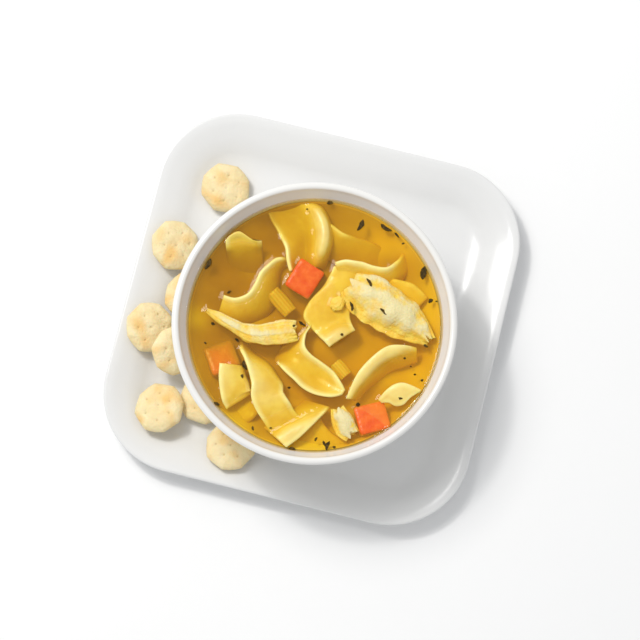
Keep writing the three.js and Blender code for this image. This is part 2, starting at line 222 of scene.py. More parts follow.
# --- Bowl -----------------------------------------------------------------------------------
# A deep soup bowl of the same white porcelain, thrown round: hollow foot ring, walls that open
# fast and then rise steeply, and a rounded lip. It stands on the plate's well.
BOWL_HIGH = 62.0
BOWL_RADIUS = 70.3   # outside, at the lip
BOWL_MOUTH = 66.4    # inside, at the lip
BOWL_FLOOR = 5.5     # inside floor over the foot
BOWL_FLARE = 0.36    # both walls open like this power of the height
BOWL_FOOT = 33.0
FOOT_HOLLOW = 2.4
LIP_HIGH = 1.7       # height over which the lip is rounded
MOUTH_DROP = 0.6     # the mouth is measured this far under the lip's top
ROUND = 512          # points round the bowl and the broth

bowl_low, bowl_high = (np.array(v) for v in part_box("bowl"))
bowl_at = np.array([*(bowl_low + bowl_high)[:2] / 2, bowl_low[2]])


def inner_radius(h):
    """Inside of the bowl: a power of the height over the floor."""
    share = (np.asarray(h) - BOWL_FLOOR) / (BOWL_HIGH - MOUTH_DROP - BOWL_FLOOR)
    return BOWL_MOUTH * np.maximum(share, 0) ** BOWL_FLARE


def outer_radius(h):
    """Outside of the bowl: the same power of the height, and never less than the foot."""
    share = (np.asarray(h) - FOOT_HOLLOW) / (BOWL_HIGH - FOOT_HOLLOW)
    return np.maximum(BOWL_FOOT, BOWL_RADIUS * np.maximum(share, 0) ** BOWL_FLARE)


def turned(profile, around=ROUND):
    """Turns radii and heights about the bowl's axis: point = (r cos a, r sin a, h)."""
    profile = np.asarray(profile, float)
    a = np.linspace(0, 2 * np.pi, around, endpoint=False)
    r, h = profile[:, :1], profile[:, 1:]
    return np.stack([r * np.cos(a), r * np.sin(a), h + 0 * a], -1)


foot = [(BOWL_FOOT - 4.6, FOOT_HOLLOW), (BOWL_FOOT - 4.2, 1.4), (BOWL_FOOT - 3.6, 0.4),
        (BOWL_FOOT - 2.6, 0.0), (BOWL_FOOT - 0.8, 0.0), (BOWL_FOOT - 0.2, 0.4), (BOWL_FOOT, 1.4)]
lip_base = BOWL_HIGH - LIP_HIGH
outside = np.linspace(6.0, lip_base, 44)
swing = np.linspace(0, np.pi, 13)
lip_in, lip_out = inner_radius(lip_base), outer_radius(lip_base)
lip_mid, lip_half = (lip_in + lip_out) / 2, (lip_out - lip_in) / 2
inside = BOWL_FLOOR + (lip_base - BOWL_FLOOR) * np.linspace(1, 0, 60)[1:-1] ** 2
bowl_profile = np.vstack([
    foot,
    np.column_stack([outer_radius(outside), outside]),
    np.column_stack([lip_mid + lip_half * np.cos(swing), lip_base + LIP_HIGH * np.sin(swing)])[1:],
    np.column_stack([inner_radius(inside), inside])])
points, quads = closed_skin(turned(bowl_profile, 192))
bowl = put_mesh("soup_bowl", points / 1000 + bowl_at, quads,
                white_glaze("bowl glaze", (0.84, 0.83, 0.805)))
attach(bowl, "root")
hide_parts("bowl")


# --- Noodles --------------------------------------------------------------------------------
# Wide egg noodles, cut from rolled yellow dough and boiled soft. They float half sunk: an edge
# or a fold stands out of the broth and the rest falls away below it.
SERVE_TURN = 14                       # degrees by which the serving is turned on the plate
UPRIGHT = (0, 0, 1)
NOODLE_THICK = 1.9
LEVEL = float(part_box("broth")[1].z)   # broth level, metres
FILL = (LEVEL - bowl_at[2]) * 1000    # broth level over the bowl's foot, millimetres
STEEP = math.radians(78)              # the sunk part of a strip hangs at this angle
BEND_REACH = 5.0                      # and bends down to it over this length
FAR_FROM_EDGE = 8.0                   # distances from an edge are kept up to this
SWALLOW_DEPTH = 4.5                   # depth by which the broth has hidden most of a thing
THIN_EDGE = 5.0                       # a sheet goes out of sight sooner this near its edge,
THIN_FROM, THIN_OVER = 0.6, 2.4       # from this depth on, over so many millimetres
PROUD_FROM, PROUD_OVER = 1.2, 2.0     # heights over which dough above the broth turns paler
PROUD_SHARE = 0.38
CUT_REACH = 8.0                       # length of a strip over which its cut end is pushed out
FOOD_GAP = 0.4                        # food stays this far off the bowl's inside
# Whole width, then rows: across and up the serving from the bowl's axis, edge height over the
# broth, fall of the strip to the right of its run (degrees), width before it turns down, sag.
NOODLES = {
    "noodle_tip": (18, [
        (-26, 44.2, 0.2, -3, 18, -1), (-25.8, 40.8, -2.6, -4, 18, -1), (-25.4, 36.4, -5.6, 0, 18, 0),
        (-25, 30, -9, 4, 18, 0), (-24.6, 24, -12, 6, 17, 0)]),
    "noodle_wave": (18, [
        (-44.4, 14.8, 0.4, 25, 7, 0), (-39, 13.1, 1.4, 32, 11, 0), (-33.5, 14.8, 1.8, 38, 13, 0),
        (-29.3, 20, 1.9, 40, 13, 0), (-26.6, 25.8, 1.8, 42, 11, 0), (-22, 30.6, 1.6, 48, 8, 0),
        (-16.8, 33.2, 0.8, 60, 5, 0), (-12, 33.5, -4, 64, 5, 0)]),
    "noodle_ruffle": (18, [
        (10, 31, 0.8, 26, 6, 0), (15.5, 32, 2, 30, 6, 0), (22.5, 31, 2.4, 34, 6.5, 0),
        (30, 28.6, 2.3, 36, 7, 0), (36, 28.6, 1.5, 40, 7, 0), (40.6, 31.8, -0.8, 48, 7, 0),
        (43.5, 36.5, -4, 54, 9, 0)]),
    "noodle_left": (15, [
        (-42.8, -41.6, -0.6, 8, 13, 0), (-45, -37.6, 0.9, 8, 13, 0), (-46.2, -31.5, 1.7, 9, 12, 0),
        (-46.7, -25, 1.9, 12, 10, -0.5), (-46.4, -19.2, 1.9, 14, 8.5, -0.6)]),
    "noodle_long": (16, [
        (-14.5, -58.5, -4.6, -4, 15, 0), (-20.5, -54, -3, -4, 15, 0), (-25, -47.5, -1, -4, 15.5, 0),
        (-28.8, -41.5, 0.9, 0, 15.5, 0), (-30.9, -35.5, 1.8, 6, 14, 0), (-30.8, -28.5, 2.5, 14, 11, 0),
        (-32.8, -21, 2.8, 30, 8, 0), (-35.3, -13.6, 1.4, 62, 6, 0), (-36.5, -8, -4, 70, 6, 0)]),
}
CUT_ENDS = {  # how far the first end reaches out, from the raised edge across
    "noodle_tip": (-2.4, -2.6, -1.6, 0.6, 2.6, 2.6, 1.0, -1.4)}
DRAPED = {  # rows of points across each noodle, from one free edge to the other
    "noodle_arch": [
        [(-23.4, 56.6, -3.4), (-17, 59.6, -4.6), (-9, 61.2, -3.8), (-2.5, 60.4, -1.8), (-0.5, 62, -5)],
        [(-21.3, 52, -2.8), (-14, 54, -5), (-6, 56.2, -4), (1.4, 56.6, 1.4), (4, 58.4, -4)],
        [(-18.1, 46.4, -1.4), (-11.5, 47.4, -4.2), (-3.5, 48.4, -4.6), (4.6, 49.6, 2.8), (7.8, 51, -5)],
        [(-14.6, 39, 0.8), (-9.8, 40, -3.6), (-3.2, 41, -5.8), (5, 42.4, 3.2), (9, 42.6, -6)],
        [(-13.4, 33, 1.6), (-9.8, 33.6, -4), (-3.8, 34, -6.4), (3.2, 35.2, 1.8), (6.8, 34.6, -7)],
        [(-11.9, 26.5, 0.8), (-8.5, 27, -7), (-4, 27.5, -9), (0.6, 29.5, -4), (4.2, 28.5, -10)]],
    "noodle_centre": [
        [(7.2, -11.4, 1.4), (11, -8.8, 2), (15.5, -5.8, 1.7), (20, -2.8, 0.3)],
        [(4.9, -8.8, 1.6), (8.7, -5.8, 2.1), (13.1, -3, 1.4), (18.8, -0.6, -0.4)],
        [(1.6, -5.2, -1), (6.3, -1.8, -1.4), (11.4, 1.2, -1.6), (17.5, 3.5, -2)],
        [(-5.4, 3.4, -2), (2, 5, -1.8), (9.5, 6.6, -1.8), (17.5, 9, -2.4)],
        [(-3.2, 11, -2.4), (2.6, 12, -2), (10, 13.4, -1.8), (18, 16, -2.4)],
        [(3.6, 18.6, -2.6), (6.4, 18.6, -1.8), (12.5, 19, -1.3), (19.5, 21, -2)],
        [(7.4, 24.8, -1.8), (10.5, 24.4, -1.2), (15.5, 24.2, -1.1), (22, 26, -1.6)],
        [(9.6, 29.4, -1.2), (13.5, 29.4, -1.1), (18, 29.2, -1.1), (24, 28.8, -1.4)]],
    "noodle_flap": [
        [(7.5, -40.5, -2.5), (5, -39.6, -3.4), (0, -38, -6), (-4, -36, -9)],
        [(4.6, -44, 0.4), (1.4, -44, -0.2), (-4, -41.5, -3.4), (-8, -39.5, -7)],
        [(-1.2, -50, 1.5), (-4.8, -48.4, 1.2), (-9, -46, -2.6), (-13.6, -43.4, -5)],
        [(-7.1, -55.7, 1.9), (-11.2, -51.7, 1.6), (-14.6, -49, -2.4), (-19, -46.8, -4.4)],
        [(-13.6, -60.6, 2), (-18.2, -56.4, 1.8), (-21.2, -53.6, -2.2), (-24.8, -50, -4.4)]],
    "noodle_arc": [
        [(15.2, -36.5, 0.2), (16.8, -36.6, -0.3), (18.5, -36.6, -2.4), (19.6, -37, -5)],
        [(20.4, -25.2, 2.5), (23.7, -26.8, 2.1), (25.8, -28.2, -3.6), (27.4, -29.6, -8)],
        [(27, -17.2, 2.9), (30.5, -19.6, 2.5), (32.6, -21.8, -3.6), (34.6, -24, -8)],
        [(35.2, -11.1, 2.7), (36.4, -15.6, 2.1), (37.4, -18.6, -3.6), (38.6, -21.4, -8)],
        [(42.8, -10.2, 1.7), (43, -13.8, 0.9), (43.4, -16.6, -4), (44.2, -19.4, -8)],
        [(50, -10.9, -2.2), (50, -12.4, -2.6), (50.2, -14.8, -4.4), (50.6, -17.2, -8)]],
}
TROUGH = [  # points of both edges of the cupped noodle, and its sag
    (-1.0, 1.5, -3.0, -14, -6, -10, 0), (-2.2, -1.6, 0.9, -16, -10, -8, 0.4),
    (-4.4, -5.5, 1.5, -18, -13, -9, 1.2), (-4.6, -10.7, 1.8, -19.5, -16.5, -6, 2),
    (-1, -15.5, 1.6, -16.6, -20.8, 0.6, 3.2), (4.7, -19.4, 1.2, -10.4, -27.1, 1.8, 4),
    (8.4, -22.4, 0.9, -6.2, -31, 1.9, 4), (11.4, -26, 0.9, 0.6, -34.6, 1.8, 3),
    (13.6, -29.4, 0.9, 8, -35.9, 1.6, 1.4), (15, -32.4, 0.7, 13.6, -34.6, 0.9, 0.2)]
FOLD = [  # the same for a noodle folded over, which bulges instead
    (31, -37, 0.2, 32.6, -38.6, -0.2, 0), (34.6, -32.8, 1.6, 36.1, -38.5, 0.6, -0.6),
    (38.5, -29.9, 2.6, 39.4, -40.2, 0.4, -1), (42.9, -28.9, 2.7, 43.2, -39.6, 1.2, -0.8),
    (47.8, -30.4, 1.8, 47.2, -35.8, 1.2, -0.3), (52, -32.2, 0.4, 51.6, -33.2, 0.3, 0)]


def turned_about(points, axis, degrees):
    """Turns points about an axis through the origin: I + sin(a) K + (1 - cos(a)) K K, where K
    is the cross product with the axis."""
    x, y, z = axis
    k = np.array([[0, -z, y], [z, 0, -x], [-y, x, 0]])
    a = math.radians(degrees)
    return np.asarray(points) @ (np.eye(3) + math.sin(a) * k + (1 - math.cos(a)) * k @ k).T


def to_part(points):
    """Serving millimetres, heights over the broth, to the part's metres."""
    return turned_about(points, UPRIGHT, SERVE_TURN) / 1000 + (bowl_at[0], bowl_at[1], LEVEL)


def headings(path, window=0.13):
    """Level direction of a run: from a point some way behind to one as far ahead, made a unit."""
    n = len(path)
    step = max(int(window * n), 1)
    i = np.arange(n)
    d = (path[np.minimum(i + step, n - 1)] - path[np.maximum(i - step, 0)])[:, :2]
    return d / np.linalg.norm(d, axis=1, keepdims=True)


def run_length(path):
    """Length along a path at each of its points."""
    return np.concatenate([[0], np.cumsum(np.linalg.norm(np.diff(path, axis=0), axis=1))])


def crowded(table, along):
    """Reads a finely stepped table again at rows that crowd towards both ends, as cosines do."""
    at = (1 - np.cos(np.linspace(0, np.pi, along + 1))) / 2 * (len(table) - 1)
    return np.stack([np.interp(at, np.arange(len(table)), column) for column in table.T], 1)


def section(across):
    """Once round a flat section: the share of the width, as a cosine, out along the upper face
    and back along the lower; with +1 on the upper face and -1 on the lower."""
    loop = np.linspace(0, 2 * np.pi, 2 * across, endpoint=False)
    return (1 - np.cos(loop)) / 2, np.where(loop < np.pi, 1.0, -1.0)


def half_thick(side, from_edge, from_end):
    """How far a face stands off the middle of the dough: half the thickness, rounded like a
    circle at all four edges."""
    half = NOODLE_THICK / 2
    edge, end = (np.sqrt(1 - (1 - np.clip(d / half, 0, 1)) ** 2) for d in (from_edge, from_end))
    return side * half * edge * end


def beside(run, lead, x):
    """Points level with a run and to its right by x, at each of its steps."""
    return run[:, None, :2] + x[..., None] * (lead[:, ::-1] * (1, -1))[:, None]


def eased(s):
    """A share from 0 to 1 that starts and stops gently: s * s * (3 - 2 s)."""
    return s * s * (3 - 2 * s)


def strip(rows, full, along=96, across=18, seed=0, cut=None, ripple=0.25):
    """A noodle: its raised edge follows the rows, and every cross section leaves that edge at the
    fall angle for its width, then bends down steeply until it is 'full' wide. Its edges ripple
    as two sines of the length; 'cut' pushes the first end out along the run."""
    fine = smooth_rows(rows, 4 * along)
    run, lead = crowded(fine, along), crowded(headings(fine), along)
    lead /= np.linalg.norm(lead, axis=1, keepdims=True)
    fall, width, sag = np.radians(run[:, 3:4]), run[:, 4:5], run[:, 5:6]
    total = np.maximum(width, full)
    steps = 40
    arc = np.linspace(0, 1, steps + 1)[None] * total
    bend = np.clip((arc - width) / BEND_REACH, 0, 1)
    angle = fall + (np.maximum(STEEP, fall) - fall) * eased(bend)
    out, down = (np.cumsum(np.hstack([0 * fall, f(angle[:, 1:]) * total / steps]), 1)
                 for f in (np.cos, np.sin))
    inner = np.clip(arc / width, 0, 1)
    down = down + 4 * sag * inner * (1 - inner) * np.cos(fall)
    cross, side = section(across)
    x, drop, tilt = (np.stack([np.interp(cross * steps, np.arange(steps + 1), row) for row in table])
                     for table in (out, down, angle))
    from_edge = np.minimum(cross, 1 - cross)[None] * total
    length = run_length(run[:, :2])[:, None]
    phase = seed * 1.7
    wave = np.sin(length / 2.3 + phase) + 0.6 * np.sin(length / 1.3 + 2 * phase)
    off = half_thick(side, from_edge, np.minimum(length, length[-1] - length))
    off = off + ripple * (2 * np.abs(cross - 0.5)) ** 2 * wave
    flat = beside(run, lead, x + off * np.sin(tilt))
    if cut is not None:
        push = np.interp(cross, np.linspace(0, 1, len(cut)), cut)
        push = push * np.clip(1 - length / CUT_REACH, 0, 1) ** 1.5
        flat = flat - push[..., None] * lead[:, None]
    rings = np.dstack([flat, run[:, 2:3] - drop + off * np.cos(tilt)])
    return rings, {"edge": np.minimum(from_edge, FAR_FROM_EDGE)}


def strip_between(rows, along=96, across=18, ripple=0.2):
    """A noodle stretched between two edges: rows give both edges' points and the sag between
    them. Its middle hangs as 4 * sag * s * (1 - s); the faces stand off along the normal."""
    run = crowded(smooth_rows(rows, 4 * along), along)
    left, right, sag = run[:, :3], run[:, 3:6], run[:, 6:7]
    cross, side = section(across)
    span = right - left
    sheet = left[:, None] + span[:, None] * cross[None, :, None]
    sheet[..., 2] -= 4 * sag * cross * (1 - cross)
    flat = np.linalg.norm(span[:, :2], axis=1, keepdims=True)
    tilt = np.arctan2(4 * sag * (1 - 2 * cross) - span[:, 2:], flat)
    from_edge = np.minimum(cross, 1 - cross) * np.linalg.norm(span, axis=1, keepdims=True)
    length = run_length((left + right) / 2)[:, None]
    off = half_thick(side, from_edge, np.minimum(length, length[-1] - length))
    off = off + ripple * (2 * np.abs(cross - 0.5)) ** 2 * np.sin(length / 2.1)
    outward = (span[:, :2] / np.maximum(flat, 1e-6))[:, None]
    sheet[..., :2] += outward * (off * np.sin(tilt))[..., None]
    sheet[..., 2] += off * np.cos(tilt)
    return sheet, {"edge": np.minimum(from_edge, FAR_FROM_EDGE)}


def draped(rows, along=96, across=26, ripple=0.15, seed=0):
    """A noodle laid through rows of points: the rows are smoothed lengthwise, then every line
    across them; the faces stand off along the sheet's normal."""
    rows = np.asarray(rows, float)
    grid = smooth_rows(rows.reshape(len(rows), -1), 4 * along)
    grid = grid.reshape(4 * along + 1, rows.shape[1], 3).swapaxes(0, 1)
    grid = smooth_rows(grid.reshape(rows.shape[1], -1), 4 * across)
    grid = grid.reshape(4 * across + 1, 4 * along + 1, 3).swapaxes(0, 1)
    normal = np.cross(np.gradient(grid, axis=1), np.gradient(grid, axis=0))
    normal /= np.linalg.norm(normal, axis=-1, keepdims=True)
    normal *= np.sign(normal[..., 2].mean())
    reach = [np.cumsum(np.linalg.norm(np.diff(grid, axis=k, prepend=np.take(grid, [0], k)), axis=-1),
                       axis=k) for k in (0, 1)]
    from_end, from_edge = (np.minimum(d, np.take(d, [-1], k) - d) for k, d in enumerate(reach))
    cross, side = section(across)
    i = np.round((1 - np.cos(np.linspace(0, np.pi, along + 1))) * 2 * along).astype(int)[:, None]
    j = np.round(cross * 4 * across).astype(int)[None]
    off = half_thick(side, from_edge[i, j], from_end[i, j])
    off = off + ripple * np.exp(-from_edge[i, j] / 3) * np.sin(reach[0][i, j] / 2.1 + seed)
    rings = grid[i, j] + off[..., None] * normal[i, j]
    return rings, {"edge": np.minimum(from_edge[i, j], FAR_FROM_EDGE)}


def sunk_share(rings, edge=FAR_FROM_EDGE):
    """How far the broth has swallowed a point: 0 above it, 1 - exp(-(depth / swallow) ** 1.5)
    below, and sooner near an edge, where a sheet thins out of sight."""
    deep = np.maximum(-rings[..., 2], 0)
    thin = np.clip((deep - THIN_FROM) / THIN_OVER, 0, 1) * (1 - np.clip(edge / THIN_EDGE, 0, 1)) ** 1.5
    return 1 - np.exp(-(deep / SWALLOW_DEPTH) ** 1.5) * (1 - thin)


def inside_wall(points):
    """Draws points in towards the bowl's axis so that they stay just off its inside."""
    height = np.maximum(FILL + points[..., 2:], BOWL_FLOOR + 1)
    reach = np.linalg.norm(points[..., :2], axis=-1, keepdims=True)
    pull = np.minimum(1, (inner_radius(height) - FOOD_GAP) / np.maximum(reach, 1e-6))
    return np.concatenate([points[..., :2] * pull, points[..., 2:]], -1)


def with_ends(array):
    """Repeats the first and last rows, for the middles that close a skin."""
    return np.concatenate([array[:1], array, array[-1:]])


# Colour of deep broth, which the food under the broth and the cloudy broth take on: brown is painted
# shade where the bowl's wall nearest the light shades the broth, gold is painted light pooling on the
# far side. The cloudy broth's drifts also mix these two.
DEEP_BROWN_DRIFT_AND_SHADE, DEEP_GOLD_DRIFT_AND_LIGHT = (0.29, 0.125, 0.03), (0.78, 0.44, 0.055)
LIGHT_WAY = (0.8, -0.5, 0)            # across the serving, away from the light
PAINTED_SHADE_AT, PAINTED_LIGHT_AT = -0.054, 0.02      # metres that way from the bowl's axis


def under_broth_light_and_shade_group():
    """Shader group: blends a colour by the share swallowed towards the colour of deep broth,
    which goes from brown under the wall nearest the light to gold on the far side: painted shade
    of that wall, and painted light that pools on the far side."""
    inputs = {"Colour": "NodeSocketColor", "Share": "NodeSocketFloat"}
    group, given, result = new_group("Under broth painted light and shade", inputs, "Colour", "NodeSocketColor")
    link = group.links.new
    off_axis = add_node(group, "ShaderNodeVectorMath", {1: (*bowl_at[:2], 0)}, operation="SUBTRACT")
    way = tuple(turned_about(LIGHT_WAY, UPRIGHT, SERVE_TURN))
    across = add_node(group, "ShaderNodeVectorMath", {1: way}, operation="DOT_PRODUCT")
    link(add_node(group, "ShaderNodeTexCoord").outputs["Object"], off_axis.inputs[0])
    link(off_axis.outputs["Vector"], across.inputs[0])
    # From brown to gold along the light's way: painted shade near the wall nearest the light, painted
    # light on the far side.
    along_light = remap(group, across.outputs["Value"], PAINTED_SHADE_AT, PAINTED_LIGHT_AT)
    deep = blend_colours(group, along_light, DEEP_BROWN_DRIFT_AND_SHADE, DEEP_GOLD_DRIFT_AND_LIGHT)
    link(blend_colours(group, given["Share"], given["Colour"], deep), result)
    return group


UNDER_BROTH_LIGHT_AND_SHADE = under_broth_light_and_shade_group()


def stored(tree, name):
    """The value of that name that each point of the mesh carries."""
    return add_node(tree, "ShaderNodeAttribute", attribute_name=name).outputs["Fac"]


def with_under_broth_light_and_shade(tree, colour):
    """Tints a colour towards the deep broth's, with its painted shade and painted light, by the piece's
    own "sunk" values.
    """
    node = add_node(tree, "ShaderNodeGroup", node_tree=UNDER_BROTH_LIGHT_AND_SHADE)
    tree.links.new(stored(tree, "sunk"), node.inputs["Share"])
    tree.links.new(colour, node.inputs["Colour"])
    return node.outputs["Colour"]


def fine_grain_group():
    """Shader group: bumps a face by fine mottle, with a strength and a height in metres."""
    inputs = dict.fromkeys(("Scale", "Detail", "Strength", "Height"), "NodeSocketFloat")
    group, given, normal = new_group("Fine grain", inputs, "Normal", "NodeSocketVector")
    link = group.links.new
    grain = add_node(group, "ShaderNodeGroup", {"From": 0.3, "To": 0.7}, node_tree=MOTTLE)
    bump = add_node(group, "ShaderNodeBump")
    link(given["Scale"], grain.inputs["Scale"])
    link(given["Detail"], grain.inputs["Detail"])
    link(given["Strength"], bump.inputs["Strength"])
    link(given["Height"], bump.inputs["Distance"])
    link(grain.outputs["Mask"], bump.inputs["Height"])
    link(bump.outputs["Normal"], normal)
    return group


FINE_GRAIN = fine_grain_group()


def fine_grain(tree, scale, detail, strength, height):
    """The bumped normal of the Fine grain group."""
    values = {"Scale": scale, "Detail": detail, "Strength": strength, "Height": height}
    return add_node(tree, "ShaderNodeGroup", values, node_tree=FINE_GRAIN).outputs["Normal"]


def noodle_dough():
    """Boiled egg dough: pale yellow, lighter along the edges as a painted highlight, faint rolling
    streaks, wet sheen.
    """
    material, tree, face = new_material(
        "egg noodle", Roughness=0.3, IOR=1.4, Subsurface_Weight=0.25, Subsurface_Scale=0.0025,
        Subsurface_Radius=(1.0, 0.7, 0.25))
    body = blend_colours(tree, mottle(tree, 120), (0.77, 0.475, 0.038), (0.87, 0.61, 0.08))
    # Paler towards the edges: a painted highlight along them.
    edge_highlight = remap(tree, stored(tree, "edge"), 0.2, 2.8, 0.8, 0.0)
    pale = blend_colours(tree, edge_highlight, body, (0.96, 0.85, 0.32))
    pale = blend_colours(tree, stored(tree, "proud"), pale, (0.96, 0.88, 0.42))
    tree.links.new(with_under_broth_light_and_shade(tree, pale), face["Base Color"])
    tree.links.new(fine_grain(tree, 420, 4, 0.25, 0.0004), face["Normal"])
    return material


DOUGH = noodle_dough()
WET_BAND = 0.45         # points this near the broth's level are where it wets a thing
waterline = []          # those points, on everything that stands out of the broth


def food(name, rings, values, material, node, slot):
    """One piece of food: skin, object and body; the slot argument is not used. Its points near the level
    are remembered, and it carries how sunk and how proud of the broth each point is."""
    rings = inside_wall(rings)
    points, quads = closed_skin(rings)
    waterline.append(points[np.abs(points[:, 2]) < WET_BAND])
    values["sunk"] = sunk_share(rings, values.get("edge", FAR_FROM_EDGE))
    values["proud"] = PROUD_SHARE * np.clip((rings[..., 2] - PROUD_FROM) / PROUD_OVER, 0, 1)
    values = {key: with_ends(array) for key, array in values.items()}
    piece = put_mesh(name, to_part(points), quads, material, values)
    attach(piece, "root")
    if node:
        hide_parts(node)
    return piece


for index, (node, (full, rows)) in enumerate(NOODLES.items()):
    rings, values = strip(rows, full, seed=index, cut=CUT_ENDS.get(node))
    food(node + "_soft", rings, values, DOUGH, node, "noodle")
for index, (node, rows) in enumerate(DRAPED.items()):
    rings, values = draped(rows, seed=10 + index)
    food(node + "_soft", rings, values, DOUGH, node, "noodle")
food("noodle_trough_soft", *strip_between(TROUGH), DOUGH, "noodle_trough", "noodle")
food("noodle_fold_soft", *strip_between(FOLD), DOUGH, "noodle_fold", "noodle")


# --- Sunk noodles ---------------------------------------------------------------------------
# More of the same noodles, lying loose a few millimetres under the surface. They only show as
# paler, soft-edged shapes through the amber liquid, and are one joined piece.
SUNK = [  # rows as above; heights are under the broth
    (17, [(6, 53.5, -4.5, 22, 12, 0), (8.6, 50.4, -1.6, 30, 15, 0), (13.6, 46.6, -1.4, 30, 16, 0),
          (20.5, 44.3, -3.2, 24, 17, 0), (29, 42, -5.4, 14, 17, 0), (38, 37, -9, 10, 16, 0)]),
    (16, [(33, 25, -4.5, 10, 13, 0), (41, 23, -2.8, 8, 14, 0), (49, 20.5, -2.2, 6, 14, 0),
          (56, 14, -3.4, 6, 13, 0)]),
    (16, [(-14, -34, -7, 8, 14, 0), (-22, -38, -6, 8, 15, 0), (-30, -46, -5.4, 8, 15, 0),
          (-38, -52, -6, 8, 14, 0)]),
    (16, [(2, -44, -5, 8, 14, 0), (6, -50, -4.2, 6, 15, 0), (12, -55, -4.6, 4, 15, 0),
          (22, -58, -5, 4, 14, 0)]),
]


def joined(skins):
    """Several skins as one: their points in one list, each one's quads counted on from the last."""
    starts = np.cumsum([0] + [len(points) for points, _ in skins[:-1]])
    return (np.vstack([points for points, _ in skins]),
            np.vstack([quads + start for (_, quads), start in zip(skins, starts)]))


skins, edges, shares = [], [], []
for index, (full, rows) in enumerate(SUNK):
    rings, values = strip(rows, full, along=40, across=10, seed=20 + index)
    rings = inside_wall(rings)
    skins.append(closed_skin(rings))
    edges.append(with_ends(values["edge"]).ravel())
    shares.append(with_ends(sunk_share(rings, values["edge"])).ravel())
points, quads = joined(skins)
sunk = put_mesh("sunk_noodles", to_part(points), quads, DOUGH,
                {"edge": np.concatenate(edges), "sunk": np.concatenate(shares)})
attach(sunk, "root")


# --- Chicken --------------------------------------------------------------------------------
# Poached breast torn by hand along its grain: pale dry-looking fibres on the faces that stand
# out of the broth, yellow wet meat in the grooves, and frayed ends.

# Ridges round, fray, slump of one side and dryness; then rows: across, up, middle height, half
# width and half height.
CHICKEN = {
    "chicken_chunk": (4, 2.2, 0.85, 0.62, [
        (18.4, 20.2, -0.4, 6.4, 3.6), (20.6, 18.4, -0.3, 8.8, 4.8), (28, 12.6, 0, 11.4, 5.8),
        (37, 6.6, 0.2, 11.2, 6), (45, 1.8, 0, 9.6, 5), (51.4, -3.4, 0, 6.6, 4),
        (55.4, -7.4, 0.2, 3.4, 2.4)]),
    "chicken_bit": (4, 0.6, 0, 0.12, [
        (8.6, 8, 0.8, 1.6, 0.8), (11, 10, 1.2, 3.6, 1.7), (13.4, 12.6, 1.1, 2.2, 1.4)]),
    "chicken_shred": (6, 1.5, 0.1, 0.5, [
        (-52, 6.6, 0.2, 0.9, 0.8), (-47, 3.6, 0.3, 2.5, 1.8), (-40, -0.6, 0.4, 3, 2.4),
        (-32, -4.3, 0.4, 4.4, 2.8), (-23, -4.6, 0.4, 5.6, 3), (-14, -3.6, 0.4, 6.2, 3),
        (-9.6, -3.2, 0.2, 5.2, 2.4)]),
    "chicken_flake": (3, 1.6, 1.15, 1.6, [
        (11.6, -42, 0.2, 3.2, 1.5), (12.8, -46, 0.5, 5.2, 2.7), (14.8, -50.2, 0.6, 5.6, 3),
        (17.8, -54, 0.3, 4, 1.8)]),
}


def waves(points, size, seed, count=14):
    """Smooth lumps from -1 to 1: a sum of cosine waves in seeded directions, of about that size."""
    rng = np.random.default_rng(seed)
    ways = rng.normal(size=(count, 3))
    ways /= np.linalg.norm(ways, axis=1, keepdims=True)
    ways *= 2 * np.pi / (size * rng.uniform(0.6, 1.8, (count, 1)))
    phase = rng.uniform(0, 2 * np.pi, count)
    return np.cos(points @ ways.T + phase).sum(-1) / math.sqrt(count) / 1.4


def squarer(wave, power):
    """A signed power: below 1 it takes a sine or a cosine towards a square wave."""
    return np.sign(wave) * np.abs(wave) ** power


def torn_meat(rows, ridges, fray, slump, seed, along=110, around=120):
    """Torn meat: an oval section carried along the rows, pushed out by fibre ridges that run
    lengthwise and drift round it, and by lumps; near the ends each fibre stops at its own length.
    Each point is pale by how proud, dry and high over the broth it is."""
    run = smooth_rows(rows, along)
    lead = headings(run)
    t = np.linspace(0, 1, along + 1)[:, None]
    turn = np.linspace(0, 2 * np.pi, around, endpoint=False)[None]
    rng = np.random.default_rng(seed)
    fibre = 0 * t * turn
    for k in (1, 2, 3.1, 5.3):
        drift = rng.uniform(-1.6, 1.6) * np.sin(2 * np.pi * t * rng.uniform(0.3, 0.9))
        fibre = fibre + np.cos(round(ridges * k) * turn + drift + rng.uniform(0, 6.3)) / k ** 1.1
    fibre = fibre / 2.2
    half_wide, half_high = run[:, 3:4], run[:, 4:5]
    x, z = squarer(np.cos(turn), 0.8) * half_wide, squarer(np.sin(turn), 0.75) * half_high
    place = np.dstack([beside(run, lead, x), run[:, 2:3] + z])
    lumps = squarer(waves(place, 10.0, seed + 1), 0.7)
    grain = waves(place, 2.6, seed + 2)
    push = 0.12 * fibre + 0.19 * lumps + 0.014 * grain
    push = push * np.clip(np.minimum(half_wide, half_high), 0.5, 4.5)
    slope = np.clip((x / half_wide - 0.1) / 0.9, 0, 1)
    z = z * np.where(z > 0, 1 - slump * eased(slope), 1) + push * np.sin(turn)
    shift = fray * (np.cos(ridges * 2 * turn + seed) + 0.7 * np.cos(ridges * 3.3 * turn)) / 1.7
    shift = shift * (np.clip(1 - t / 0.2, 0, 1) + np.clip(1 - (1 - t) / 0.2, 0, 1))
    flat = beside(run, lead, x + push * np.cos(turn)) + shift[..., None] * lead[:, None]
    rings = np.dstack([flat, run[:, 2:3] + z])
    pale = np.clip(0.5 + 0.5 * fibre + 0.35 * lumps + 0.2 * grain, 0, 1)
    dry = np.clip((rings[..., 2] - 0.6) / 2.6, 0, 1) * (1 - 0.75 * slope)
    return rings[:, ::-1], {"pale": (pale * dry)[:, ::-1]}


